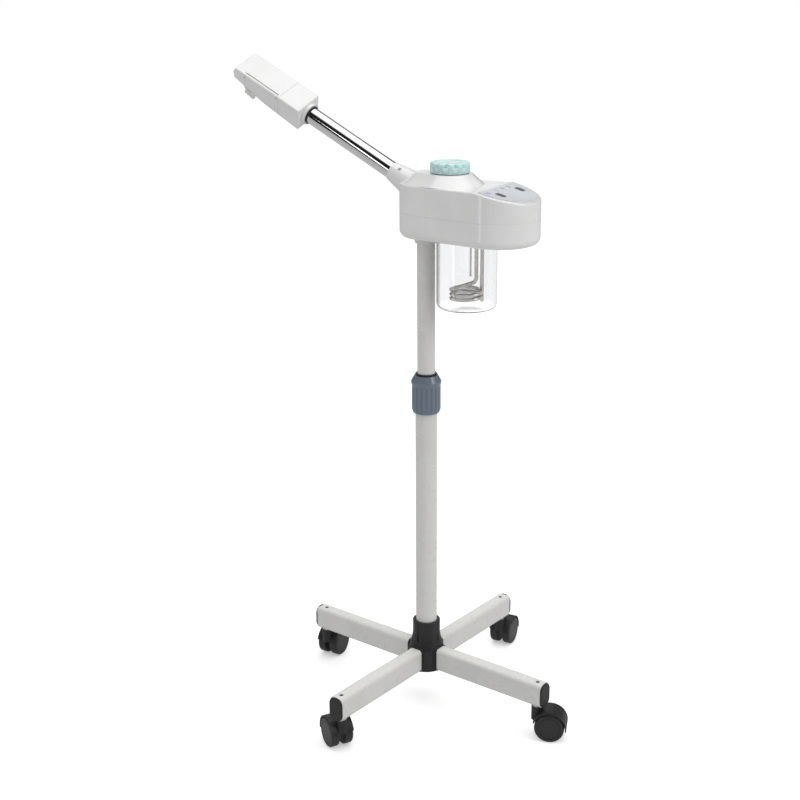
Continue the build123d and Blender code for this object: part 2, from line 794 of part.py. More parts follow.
neck_top_level = crown_top + 6
save(ring(neck_outer, neck_inner, flange_top, neck_top_level, neck_x), "fill_neck")

with BuildPart() as ozone_lamp:
    with BuildSketch(Plane(origin=(jar_x + 27, -26, flange_top + 18), z_dir=(0, 1, 0))):
        Circle(6)
    extrude(amount=44)
    fillet(ozone_lamp.edges().group_by(Axis.Y)[-1], radius=5)
    with BuildSketch(Plane(origin=(jar_x + 27, -26, flange_top + 18), z_dir=(0, -1, 0))):
        Circle(8)
    extrude(amount=8)
save(ozone_lamp, "ozone_lamp")

with BuildPart() as fill_cap:
    cap_bottom = crown_top + 1
    with BuildSketch(Plane.XY.offset(cap_bottom)):
        with Locations((neck_x, 0)):
            Circle(cap_radius)
    extrude(amount=cap_height)
    with BuildSketch(Plane.XY.offset(cap_bottom + 2.5)):
        with Locations((neck_x, 0)):
            with PolarLocations(cap_radius + 4.2, cap_lobes):
                Circle(6)
    extrude(amount=cap_height, mode=Mode.SUBTRACT)
    fillet(fill_cap.faces().sort_by(Axis.Z)[-1].edges(), radius=1.6)
    with BuildSketch(Plane.XY.offset(cap_bottom)):
        with Locations((neck_x, 0)):
            Circle(neck_outer + loose_gap)
    extrude(amount=cap_height - cap_wall, mode=Mode.SUBTRACT)
save(fill_cap, "fill_cap")

gasket_top = cap_bottom + cap_height - cap_wall
cap_gasket = ring(neck_outer + loose_gap, neck_inner - 2, neck_top_level + 0.2, gasket_top, neck_x)
save(cap_gasket, "cap_gasket")


# Steam arm, drawn along its axis from the outer end of its socket


def arm_ring(outer, inner, start, end):
    with BuildPart() as piece:
        with BuildSketch(arm_frame.offset(start)):
            Circle(outer)
            Circle(inner, mode=Mode.SUBTRACT)
        extrude(amount=end - start)
    return piece


save(arm_ring(arm_radius, arm_radius - arm_wall, -arm_inside, arm_length - arm_inside), "arm_tube")

with BuildPart() as arm_socket:
    add(socket_body(0, -40, 0))
    fillet(arm_socket.edges().group_by(Axis.X)[0], radius=0.5)
    with BuildSketch(arm_frame.offset(-arm_inside)):
        Circle(arm_radius)
    extrude(amount=2 * arm_inside, mode=Mode.SUBTRACT)
save(arm_socket, "arm_socket")

duct_end = arm_frame.origin + arm_frame.z_dir * -arm_inside
duct_turn = arm_frame.origin + arm_frame.z_dir * -(arm_inside + 22)

with BuildPart() as steam_hose:
    with BuildLine():
        FilletPolyline(
            (duct_x, duct_y, flange_top),
            (duct_x, duct_y, flange_top + 24),
            (duct_x - 24, duct_y - 2, flange_top + 32),
            duct_turn,
            duct_end,
            radius=9,
        )
    with BuildSketch(Plane.XY.offset(flange_top)):
        with Locations((duct_x, duct_y)):
            Circle(duct_radius)
            Circle(duct_radius - duct_wall, mode=Mode.SUBTRACT)
    sweep()
    with BuildSketch(arm_frame.offset(-arm_inside)):
        Circle(hose_radius)
        Circle(duct_radius - duct_wall, mode=Mode.SUBTRACT)
    extrude(amount=hose_wall)
    with BuildSketch(arm_frame.offset(-arm_inside)):
        Circle(hose_radius)
        Circle(hose_radius - hose_wall, mode=Mode.SUBTRACT)
    extrude(amount=arm_length - 2)
save(steam_hose, "steam_hose")

with BuildPart() as arm_rings:  # dark ring before the nozzle, and the one that keeps the nozzle on
    add(arm_ring(arm_radius + 1.3, arm_radius, arm_visible - 7.2, arm_visible - 4.3).part)
    retainer_start = arm_visible + 2 + rear_wall + 0.5
    add(arm_ring(arm_radius + 2.5, arm_radius, retainer_start, retainer_start + 2.5).part)
save(arm_rings, "arm_rings")


# Nozzle pieces, drawn in the nozzle's own axes

near_side = -nozzle_width / 2
facet_angle = degrees(atan2(facet_drop - front_drop, nozzle_length - facet_start))


def nozzle_block(inset):
    """Whole nozzle's outside, or the same drawn in by a wall."""
    with BuildPart() as block:
        with BuildSketch(Plane(origin=(0, 0, 0), x_dir=(0, 0, 1), z_dir=(-1, 0, 0))) as side:
            with BuildLine():
                Polyline(
                    (0, -nozzle_half),
                    (nozzle_length - 3, -nozzle_half),
                    (nozzle_length + 2, -nozzle_half / 2),
                    (nozzle_length, front_drop),
                    (facet_start, facet_drop),
                    (0, nozzle_half),
                    close=True,
                )
            make_face()
            if inset > 0:
                offset(amount=-inset, kind=Kind.INTERSECTION, mode=Mode.REPLACE)
        extrude(amount=nozzle_width / 2 - inset, both=True)
        if inset == 0:
            fillet(block.edges(), radius=nozzle_round)
    return block.part


def slab(start, end):
    with BuildPart() as piece:
        with BuildSketch(Plane.XY.offset(start)):
            Rectangle(2 * nozzle_width, 2 * nozzle_width)
        extrude(amount=end - start)
    return piece.part


def seam_groove():
    """Shallow channel round the joint between the nozzle's halves."""
    with BuildPart() as groove:
        add(slab(nozzle_seam - 0.5, nozzle_seam + 0.5))
        add(nozzle_block(0.7), mode=Mode.SUBTRACT)
    return groove.part


nozzle_outside = nozzle_block(0)
nozzle_outside = nozzle_outside - seam_groove()
nozzle_inside = nozzle_block(nozzle_wall)
hinge_x, hinge_y = near_side + hinge_inset, -nozzle_half + hinge_inset

with BuildPart() as nozzle_rear:
    add(nozzle_outside)
    add(slab(0, nozzle_seam), mode=Mode.INTERSECT)
    with BuildPart(mode=Mode.PRIVATE) as rear_cavity:
        add(nozzle_inside)
        add(slab(rear_wall, nozzle_seam), mode=Mode.INTERSECT)
    add(rear_cavity.part, mode=Mode.SUBTRACT)
    with BuildSketch(Plane.XY.offset(-6)):
        Circle(arm_radius + 4)
    extrude(amount=6 + rear_wall)
    with BuildSketch(Plane.XY.offset(-6)):
        Circle(arm_radius + running_gap)
    extrude(amount=7 + rear_wall, mode=Mode.SUBTRACT)
save(nozzle_rear, "nozzle_rear", nozzle_frame.location)


def side_plane(x):
    """Plane parallel to the nozzle's near side: its x runs along the nozzle and its y runs down."""
    return Plane(origin=(x, 0, 0), x_dir=(0, 0, 1), z_dir=(-1, 0, 0))


def flap_outline(grow):
    """Flap on the near side, from the hinge down to a little above the underside."""
    Polygon(
        (hinge_start + 3, hinge_y + 1),
        (hinge_end - 3, hinge_y + 1),
        (hinge_end - 3, front_drop + 1),
        (facet_start + 4, facet_drop - 5),
        (hinge_start + 3, facet_drop - 3),
        align=None,
    )
    if grow != 0:
        offset(amount=grow, kind=Kind.INTERSECTION, mode=Mode.REPLACE)


facet_middle = (facet_start + nozzle_length) / 2
facet_level = (facet_drop + front_drop) / 2
outlet_frame = Plane(
    origin=(0, facet_level, facet_middle),
    x_dir=(1, 0, 0),
    z_dir=(0, cos(radians(facet_angle)), sin(radians(facet_angle))),
)

with BuildPart() as nozzle_front:
    add(nozzle_outside)
    add(slab(nozzle_seam, nozzle_length + 20), mode=Mode.INTERSECT)
    with BuildPart(mode=Mode.PRIVATE) as front_cavity:
        add(nozzle_inside)
        add(slab(nozzle_seam, nozzle_length + 20), mode=Mode.INTERSECT)
        with BuildSketch(Plane.XY.offset(hinge_start - 4)):
            with Locations((hinge_x, hinge_y)):
                Rectangle(14, 14)
        extrude(amount=hinge_end - hinge_start + 8, mode=Mode.SUBTRACT)
    add(front_cavity.part, mode=Mode.SUBTRACT)
    with BuildSketch(Plane.XY.offset(hinge_start - 0.4)):
        with Locations((hinge_x - 3, hinge_y - 3)):
            Rectangle(2 * hinge_radius + 7.6, 2 * hinge_radius + 7.6)
    extrude(amount=hinge_end - hinge_start + 0.8, mode=Mode.SUBTRACT)
    with BuildSketch(Plane.XY.offset(hinge_start - 3)):
        with Locations((hinge_x, hinge_y)):
            Circle(flap_pin_radius)
    extrude(amount=hinge_end - hinge_start + 6, mode=Mode.SUBTRACT)
    with BuildSketch(side_plane(near_side + flap_thickness + 0.1)):
        flap_outline(0.4)
    extrude(amount=2, mode=Mode.SUBTRACT)
    with BuildSketch(side_plane(near_side + nozzle_wall + 1)):
        flap_outline(-flap_lip)
    extrude(amount=4, mode=Mode.SUBTRACT)
    with BuildSketch(outlet_frame):
        Circle(outlet_neck + 2 * running_gap)
    extrude(amount=nozzle_wall + 2, both=True, mode=Mode.SUBTRACT)
save(nozzle_front, "nozzle_front", nozzle_frame.location)

with BuildPart() as service_flap:
    with BuildSketch(Plane.XY.offset(hinge_start)):
        with Locations((hinge_x, hinge_y)):
            Circle(hinge_radius)
    extrude(amount=hinge_end - hinge_start)
    with BuildSketch(side_plane(near_side + flap_thickness)):
        flap_outline(0)
    extrude(amount=flap_thickness)
    with BuildSketch(Plane.XY.offset(hinge_start)):
        with Locations((hinge_x, hinge_y)):
            Circle(flap_pin_radius + running_gap)
    extrude(amount=hinge_end - hinge_start, mode=Mode.SUBTRACT)
save(service_flap, "service_flap", nozzle_frame.location)

with BuildPart() as flap_pin:
    with BuildSketch(Plane.XY.offset(hinge_start - 3)):
        with Locations((hinge_x, hinge_y)):
            Circle(flap_pin_radius)
    extrude(amount=hinge_end - hinge_start + 6)
save(flap_pin, "flap_pin", nozzle_frame.location)

with BuildPart() as steam_outlet:
    with BuildSketch(outlet_frame.offset(-nozzle_wall - 2.2)):
        Circle(outlet_neck + 2)
    extrude(amount=1.8)
    with BuildSketch(outlet_frame.offset(-nozzle_wall - 2.2)):
        Circle(outlet_neck)
    extrude(amount=nozzle_wall + 2.2 + outlet_gap)
    with BuildSketch(outlet_frame.offset(outlet_gap)):
        Circle(outlet_radius)
    extrude(amount=outlet_thickness)
    fillet(steam_outlet.faces().sort_by(Axis(outlet_frame.origin, outlet_frame.z_dir))[-1].edges(), radius=1.5)
    with BuildSketch(outlet_frame.offset(outlet_gap + 1)):
        with Locations((-outlet_radius + tab_inset + tab_depth / 2, 0)):
            RectangleRounded(tab_depth, tab_width, 1.5)
    extrude(amount=outlet_thickness + tab_height)
    with BuildSketch(outlet_frame.offset(-nozzle_wall - 3)):
        Circle(outlet_bore)
        Rectangle(2 * outlet_bore, 2, mode=Mode.SUBTRACT)
        Rectangle(2, 2 * outlet_bore, mode=Mode.SUBTRACT)
    extrude(amount=40, mode=Mode.SUBTRACT)
save(steam_outlet, "steam_outlet", nozzle_frame.location)

with BuildPart() as aroma_basket:
    with BuildSketch(Plane(origin=(4, -nozzle_half + nozzle_wall, facet_start - 14), z_dir=(0, 1, 0))):
        Circle(12)
    extrude(amount=14)
    with BuildSketch(Plane(origin=(4, -nozzle_half + nozzle_wall + 1.5, facet_start - 14), z_dir=(0, 1, 0))):
        Circle(10.5)
    extrude(amount=14, mode=Mode.SUBTRACT)
save(aroma_basket, "aroma_basket", nozzle_frame.location)
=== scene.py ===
from math import cos, pi, radians, sin

import bmesh
import bpy
from mathutils import Euler, Matrix, Vector


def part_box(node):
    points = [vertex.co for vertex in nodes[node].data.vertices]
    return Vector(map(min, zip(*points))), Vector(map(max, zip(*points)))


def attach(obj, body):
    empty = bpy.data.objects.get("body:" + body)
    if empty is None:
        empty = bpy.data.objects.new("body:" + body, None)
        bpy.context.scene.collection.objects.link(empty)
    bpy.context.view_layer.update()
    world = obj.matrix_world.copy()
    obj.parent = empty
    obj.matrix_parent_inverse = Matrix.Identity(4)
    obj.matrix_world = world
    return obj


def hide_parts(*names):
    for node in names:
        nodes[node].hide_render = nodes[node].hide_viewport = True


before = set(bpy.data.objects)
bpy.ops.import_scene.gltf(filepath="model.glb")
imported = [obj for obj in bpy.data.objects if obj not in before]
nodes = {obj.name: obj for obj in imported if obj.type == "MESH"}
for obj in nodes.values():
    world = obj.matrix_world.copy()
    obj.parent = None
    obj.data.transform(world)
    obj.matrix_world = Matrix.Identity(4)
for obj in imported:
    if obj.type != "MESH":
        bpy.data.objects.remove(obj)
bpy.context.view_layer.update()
scene = bpy.context.scene
print("frame loaded:", len(nodes), "nodes")


# Shader node groups shared by the materials

def newGroup(name, inputs, outputs):
    group = bpy.data.node_groups.new(name, "ShaderNodeTree")
    for label, kind, value in inputs:
        socket = group.interface.new_socket(name=label, in_out="INPUT", socket_type=kind)
        if value is not None:
            socket.default_value = value
    for label, kind in outputs:
        group.interface.new_socket(name=label, in_out="OUTPUT", socket_type=kind)
    return group, group.nodes.new("NodeGroupInput"), group.nodes.new("NodeGroupOutput")


def addNode(tree, kind, **settings):
    node = tree.nodes.new(kind)
    for label, value in settings.items():
        setattr(node, label, value)
    return node


def addNoise(tree, coords, scale, detail=4.0, roughness=0.5):
    noise = addNode(tree, "ShaderNodeTexNoise")
    noise.inputs["Detail"].default_value = detail
    noise.inputs["Roughness"].default_value = roughness
    tree.links.new(coords, noise.inputs["Vector"])
    if isinstance(scale, float):
        noise.inputs["Scale"].default_value = scale
    else:
        tree.links.new(scale, noise.inputs["Scale"])
    return noise.outputs["Fac"]


def addMath(tree, operation, first, second):
    node = addNode(tree, "ShaderNodeMath", operation=operation)
    for socket, value in zip(node.inputs, (first, second)):
        if isinstance(value, (int, float)):
            socket.default_value = value
        else:
            tree.links.new(value, socket)
    return node.outputs[0]


def addRange(tree, value, low, high, newLow, newHigh):
    node = addNode(tree, "ShaderNodeMapRange")
    for label, number in (("From Min", low), ("From Max", high), ("To Min", newLow), ("To Max", newHigh)):
        if isinstance(number, (int, float)):
            node.inputs[label].default_value = number
        else:
            tree.links.new(number, node.inputs[label])
    tree.links.new(value, node.inputs["Value"])
    return node.outputs["Result"]


def addMix(tree, factor, first, second, blend="MIX"):
    node = addNode(tree, "ShaderNodeMix", data_type="RGBA", blend_type=blend)
    for socket, value in ((node.inputs[0], factor), (node.inputs[6], first), (node.inputs[7], second)):
        if isinstance(value, (int, float, tuple)):
            socket.default_value = value
        else:
            tree.links.new(value, socket)
    return node.outputs[2]


def buildSurfaceTone():
    # slow cloudy change of colour with a little settled dust, for moulded and painted parts
    group, start, end = newGroup(
        "surfaceTone",
        [("Color", "NodeSocketColor", (0.8, 0.8, 0.8, 1)),
         ("Dust Color", "NodeSocketColor", (0.7, 0.68, 0.64, 1)),
         ("Patch Scale", "NodeSocketFloat", 14.0), ("Patch Strength", "NodeSocketFloat", 0.04),
         ("Dust Amount", "NodeSocketFloat", 0.08), ("Roughness", "NodeSocketFloat", 0.35),
         ("Roughness Change", "NodeSocketFloat", 0.06)],
        [("Color", "NodeSocketColor"), ("Roughness", "NodeSocketFloat")])
    coords = addNode(group, "ShaderNodeTexCoord").outputs["Object"]
    patch = addNoise(group, coords, start.outputs["Patch Scale"], 5.0, 0.6)
    shade = addRange(group, patch, 0.3, 0.7, -1.0, 1.0)
    shade = addMath(group, "MULTIPLY", shade, start.outputs["Patch Strength"])
    shade = addMath(group, "ADD", shade, 1.0)
    grey = addNode(group, "ShaderNodeCombineColor")
    for socket in grey.inputs:
        group.links.new(shade, socket)
    toned = addMix(group, 1.0, start.outputs["Color"], grey.outputs[0], "MULTIPLY")
    up = addNode(group, "ShaderNodeSeparateXYZ")
    group.links.new(addNode(group, "ShaderNodeNewGeometry").outputs["Normal"], up.inputs[0])
    top = addRange(group, up.outputs["Z"], 0.4, 1.0, 0.0, 1.0)
    speck = addRange(group, addNoise(group, coords, 260.0, 6.0, 0.7), 0.42, 0.62, 0.0, 1.0)
    dust = addMath(group, "MULTIPLY", addMath(group, "MULTIPLY", top, speck), start.outputs["Dust Amount"])
    group.links.new(addMix(group, dust, toned, start.outputs["Dust Color"]), end.inputs["Color"])
    rough = addMath(group, "MULTIPLY", addRange(group, patch, 0.3, 0.7, -1.0, 1.0),
                    start.outputs["Roughness Change"])
    rough = addMath(group, "ADD", rough, start.outputs["Roughness"])
    rough = addMath(group, "ADD", rough, addMath(group, "MULTIPLY", dust, 0.4))
    group.links.new(rough, end.inputs["Roughness"])
    return group


def buildFineGrain():
    # moulded or sprayed texture: two sizes of noise as one bump normal
    group, start, end = newGroup(
        "fineGrain",
        [("Scale", "NodeSocketFloat", 900.0), ("Strength", "NodeSocketFloat", 0.1),
         ("Waviness", "NodeSocketFloat", 0.02)],
        [("Normal", "NodeSocketVector")])
    coords = addNode(group, "ShaderNodeTexCoord").outputs["Object"]
    fine = addNoise(group, coords, start.outputs["Scale"], 3.0, 0.6)
    slow = addNoise(group, coords, 22.0, 2.0, 0.4)
    wave = addNode(group, "ShaderNodeBump")
    wave.inputs["Distance"].default_value = 0.002
    group.links.new(slow, wave.inputs["Height"])
    group.links.new(start.outputs["Waviness"], wave.inputs["Strength"])
    grain = addNode(group, "ShaderNodeBump")
    grain.inputs["Distance"].default_value = 0.0003
    group.links.new(fine, grain.inputs["Height"])
    group.links.new(start.outputs["Strength"], grain.inputs["Strength"])
    group.links.new(wave.outputs["Normal"], grain.inputs["Normal"])
    group.links.new(grain.outputs["Normal"], end.inputs["Normal"])
    return group


surfaceTone = buildSurfaceTone()
fineGrain = buildFineGrain()
print("shader groups ready")


# Materials

finishes = {
    "beigePaint": {"color": (0.74, 0.735, 0.715), "roughness": 0.28, "grain": 0.12, "scale": 1400.0,
                   "wave": 0.015, "coat": 0.25, "dust": 0.02},
    "whiteGloss": {"color": (0.84, 0.84, 0.835), "roughness": 0.16, "grain": 0.03, "scale": 1200.0,
                   "wave": 0.03, "coat": 0.5, "dust": 0.02},
    "whiteSatin": {"color": (0.78, 0.78, 0.77), "roughness": 0.42, "grain": 0.12, "scale": 1100.0,
                   "dust": 0.02},
    "mattBlack": {"color": (0.016, 0.016, 0.018), "roughness": 0.48, "grain": 0.35, "scale": 1000.0,
                  "dust": 0.05},
    "wheelBlack": {"color": (0.02, 0.02, 0.022), "roughness": 0.36, "grain": 0.22, "scale": 900.0,
                   "dust": 0.08},
    "collarGrey": {"color": (0.155, 0.195, 0.25), "roughness": 0.22, "grain": 0.06, "scale": 1200.0,
                   "coat": 0.4, "dust": 0.04},
    "darkGloss": {"color": (0.012, 0.012, 0.014), "roughness": 0.12, "grain": 0.02, "scale": 1200.0},
    "panelLilac": {"color": (0.66, 0.68, 0.71), "roughness": 0.35, "grain": 0.08, "scale": 1500.0,
                   "dust": 0.02},
    "keyGrey": {"color": (0.13, 0.13, 0.145), "roughness": 0.3, "grain": 0.1, "scale": 1200.0},
    "boardGreen": {"color": (0.02, 0.16, 0.06), "roughness": 0.35, "grain": 0.1, "scale": 800.0},
    "paleRubber": {"color": (0.62, 0.61, 0.58), "roughness": 0.6, "grain": 0.2, "scale": 900.0},
    "darkRubber": {"color": (0.018, 0.018, 0.02), "roughness": 0.55, "grain": 0.2, "scale": 900.0},
    "iconGrey": {"color": (0.30, 0.31, 0.34), "roughness": 0.4, "grain": 0.05, "scale": 1500.0},
    "iconViolet": {"color": (0.50, 0.47, 0.66), "roughness": 0.4, "grain": 0.05, "scale": 1500.0},
}


def newMaterial(name):
    material = bpy.data.materials.new(name)
    material.use_nodes = True
    tree = material.node_tree
    shader = tree.nodes["Principled BSDF"]
    return material, tree, shader


def placeGroup(tree, group, values):
    node = addNode(tree, "ShaderNodeGroup", node_tree=group)
    for label, value in values.items():
        node.inputs[label].default_value = value
    return node


def makeFinish(name, finish):
    material, tree, shader = newMaterial(name)
    tone = placeGroup(tree, surfaceTone, {
        "Color": (*finish["color"], 1), "Dust Amount": finish.get("dust", 0.0),
        "Roughness": finish["roughness"]})
    grain = placeGroup(tree, fineGrain, {
        "Scale": finish["scale"], "Strength": finish["grain"], "Waviness": finish.get("wave", 0.02)})
    tree.links.new(tone.outputs["Color"], shader.inputs["Base Color"])
    tree.links.new(tone.outputs["Roughness"], shader.inputs["Roughness"])
    tree.links.new(grain.outputs["Normal"], shader.inputs["Normal"])
    shader.inputs["Coat Weight"].default_value = finish.get("coat", 0.0)
    shader.inputs["Coat Roughness"].default_value = 0.08
    return material


materials = {name: makeFinish(name, finish) for name, finish in finishes.items()}


def makeMetal(name, color, roughness, streaks, strength):
    # streaks: scale of the brushing along x, y and z
    material, tree, shader = newMaterial(name)
    coords = addNode(tree, "ShaderNodeTexCoord").outputs["Object"]
    mapping = addNode(tree, "ShaderNodeMapping")
    mapping.inputs["Scale"].default_value = streaks
    tree.links.new(coords, mapping.inputs["Vector"])
    brush = addNoise(tree, mapping.outputs["Vector"], 1.0, 3.0, 0.6)
    sheen = addRange(tree, brush, 0.3, 0.7, roughness * 0.75, roughness * 1.3)
    tree.links.new(sheen, shader.inputs["Roughness"])
    tint = addMix(tree, brush, tuple(c * 0.93 for c in color) + (1,), color + (1,))
    tree.links.new(tint, shader.inputs["Base Color"])
    bump = addNode(tree, "ShaderNodeBump")
    bump.inputs["Distance"].default_value = 0.0002
    bump.inputs["Strength"].default_value = strength
    tree.links.new(brush, bump.inputs["Height"])
    tree.links.new(bump.outputs["Normal"], shader.inputs["Normal"])
    shader.inputs["Metallic"].default_value = 1.0
    return material


materials["chrome"] = makeMetal("chrome", (0.80, 0.80, 0.80), 0.05, (60, 60, 60), 0.01)
materials["steel"] = makeMetal("steel", (0.56, 0.56, 0.55), 0.26, (300, 300, 40), 0.08)
materials["elementSteel"] = makeMetal("elementSteel", (0.42, 0.40, 0.38), 0.08, (250, 250, 250), 0.04)


def makeClear(name, color, roughness, ior):
    material, tree, shader = newMaterial(name)
    coords = addNode(tree, "ShaderNodeTexCoord").outputs["Object"]
    film = addNoise(tree, coords, 30.0, 4.0, 0.6)
    haze = addRange(tree, film, 0.35, 0.75, roughness, roughness + 0.05)
    tree.links.new(haze, shader.inputs["Roughness"])
    tint = addMix(tree, film, color + (1,), tuple(c * 0.98 for c in color) + (1,))
    tree.links.new(tint, shader.inputs["Base Color"])
    shader.inputs["Transmission Weight"].default_value = 1.0
    shader.inputs["IOR"].default_value = ior
    return material


materials["clearGlass"] = makeClear("clearGlass", (0.93, 0.935, 0.94), 0.01, 1.50)


def makeMint():
    # glossy mint plastic that lets a little light through
    material, tree, shader = newMaterial("mintPlastic")
    tone = placeGroup(tree, surfaceTone, {
        "Color": (0.60, 0.88, 0.87, 1), "Dust Amount": 0.0, "Roughness": 0.14, "Patch Scale": 30.0})
    grain = placeGroup(tree, fineGrain, {"Scale": 1200.0, "Strength": 0.03})
    tree.links.new(tone.outputs["Color"], shader.inputs["Base Color"])
    tree.links.new(tone.outputs["Roughness"], shader.inputs["Roughness"])
    tree.links.new(grain.outputs["Normal"], shader.inputs["Normal"])
    shader.inputs["Subsurface Weight"].default_value = 0.25
    shader.inputs["Subsurface Radius"].default_value = (0.004, 0.006, 0.006)
    shader.inputs["Subsurface Scale"].default_value = 1.0
    shader.inputs["Coat Weight"].default_value = 0.5
    return material


materials["mintPlastic"] = makeMint()
print("materials ready:", len(materials))

casterNumbers = range(1, 5)
wears = {
    "beigePaint": ["lower_tube", "upper_tube", "leg_1", "leg_2", "leg_3", "leg_4"],
    "whiteGloss": ["lower_shell", "upper_shell", "arm_socket", "nozzle_rear", "nozzle_front",
                   "service_flap"],
    "whiteSatin": ["pole_socket", "jar_holder", "boiler_flange", "fill_neck", "aroma_basket",
                   "steam_outlet"],
    "mattBlack": ["hub", "leg_plugs", "guide_bush", "glide_ring", "pole_foot_insert"]
                 + [f"caster_hood_{n}" for n in casterNumbers],
    "wheelBlack": [f"wheel_{n}_{side}" for n in casterNumbers for side in "ab"],
    "collarGrey": ["height_collar"],
    "darkGloss": ["power_inlet"],
    "keyGrey": ["steam_key", "ozone_key"],
    "panelLilac": ["control_panel"],
    "boardGreen": ["circuit_board"],
    "paleRubber": ["jar_gasket", "cap_gasket", "steam_hose"],
    "darkRubber": ["arm_rings"],
    "mintPlastic": ["fill_cap"],
    "chrome": ["arm_tube"],
    "elementSteel": ["heating_element", "level_probe"],
    "steel": ["caster_stems", "hub_screws", "pole_bolt", "shell_screws", "flap_pin"]
             + [f"caster_axle_{n}" for n in casterNumbers],
    "clearGlass": ["glass_jar", "ozone_lamp"],
}
for finish, wearers in wears.items():
    for name in wearers:
        nodes[name].data.materials.clear()
        nodes[name].data.materials.append(materials[finish])
print("CAD nodes dressed")


# Helpers that make and place the small pieces

def frameMatrix(origin, xAxis, zAxis):
    zAxis = Vector(zAxis).normalized()
    xAxis = Vector(xAxis).normalized()
    yAxis = zAxis.cross(xAxis)
    matrix = Matrix((xAxis, yAxis, zAxis)).transposed().to_4x4()
    matrix.translation = Vector(origin)
    return matrix


def makePiece(name, bm, material, body, place, smooth=True):
    bm.transform(place)
    bmesh.ops.recalc_face_normals(bm, faces=bm.faces)
    mesh = bpy.data.meshes.new(name)
    bm.to_mesh(mesh)
    bm.free()
    piece = bpy.data.objects.new(name, mesh)
    scene.collection.objects.link(piece)
    mesh.materials.append(materials[material])
    for face in mesh.polygons:
        face.use_smooth = smooth
    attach(piece, body)
    return piece


def lathe(bm, profile, steps, radiusAt):
    # profile of (radius, height); radiusAt(radius, height, angle) shapes it further
    rings = []
    for radius, height in profile:
        ring = []
        for step in range(steps):
            angle = 2 * pi * step / steps
            shaped = radiusAt(radius, height, angle)
            ring.append(bm.verts.new((shaped * cos(angle), shaped * sin(angle), height)))
        rings.append(ring)
    for low, high in zip(rings, rings[1:]):
        for step in range(steps):
            after = (step + 1) % steps
            bm.faces.new((low[step], low[after], high[after], high[step]))
    bm.faces.new(list(reversed(rings[0])))
    bm.faces.new(rings[-1])


def plate(bm, outline, low, high):
    # flat plate between two heights
    lower = [bm.verts.new((x, y, low)) for x, y in outline]
    upper = [bm.verts.new((x, y, high)) for x, y in outline]
    for step in range(len(outline)):
        after = (step + 1) % len(outline)
        bm.faces.new((lower[step], lower[after], upper[after], upper[step]))
    return lower, upper


def closedPlate(bm, outline, low, high):
    lower, upper = plate(bm, outline, low, high)
    bm.faces.new(list(reversed(lower)))
    bm.faces.new(upper)


def ringPlate(bm, outer, inner, low, high):
    # flat ring between two outlines that have the same number of points
    loops = [[bm.verts.new((x, y, z)) for x, y in points]
             for points, z in ((outer, low), (outer, high), (inner, high), (inner, low))]
    count = len(outer)
    for first, second in zip(loops, loops[1:] + loops[:1]):
        for step in range(count):
            after = (step + 1) % count
            bm.faces.new((first[step], first[after], second[after], second[step]))


def strip(bm, points, width, low, high):
    # flat line of even width along points
    left, right = [], []
    for index, (x, y) in enumerate(points):
        before = Vector(points[max(index - 1, 0)])
        after = Vector(points[min(index + 1, len(points) - 1)])
        along = (after - before).normalized()
        across = Vector((-along.y, along.x)) * width / 2
        left.append((x + across.x, y + across.y))
        right.append((x - across.x, y - across.y))
    lower, upper = plate(bm, left + list(reversed(right)), low, high)
    last = len(lower) - 1
    for step in range(len(left) - 1):
        after = step + 1
        bm.faces.new((upper[step], upper[after], upper[last - after], upper[last - step]))
        bm.faces.new((lower[last - step], lower[last - after], lower[after], lower[step]))


def roundedRect(x, y, width, height, radius, steps=5):
    points = []
    for cx, cy, start in ((1, 1, 0), (-1, 1, 90), (-1, -1, 180), (1, -1, 270)):
        for step in range(steps + 1):
            angle = radians(start + 90 * step / steps)
            points.append((x + cx * (width / 2 - radius) + radius * cos(angle),
                           y + cy * (height / 2 - radius) + radius * sin(angle)))
    return points


def circlePoints(x, y, radius, steps=24):
    return [(x + radius * cos(2 * pi * n / steps), y + radius * sin(2 * pi * n / steps))
            for n in range(steps)]


# Fill cap: round-lobed knob with a shallow dish in its top

knobLook = {
    "lobes": 12, "radius": 0.031, "lobeDepth": 0.0042, "height": 0.0165, "rimRound": 0.003,
    "hole": 0.01435, "holeDepth": 0.0098, "dish": 0.0012, "lobeStart": 0.80, "lobeFull": 0.94,
    "skirt": 0.0012, "skirtFade": 0.002, "footShare": 0.985,
}


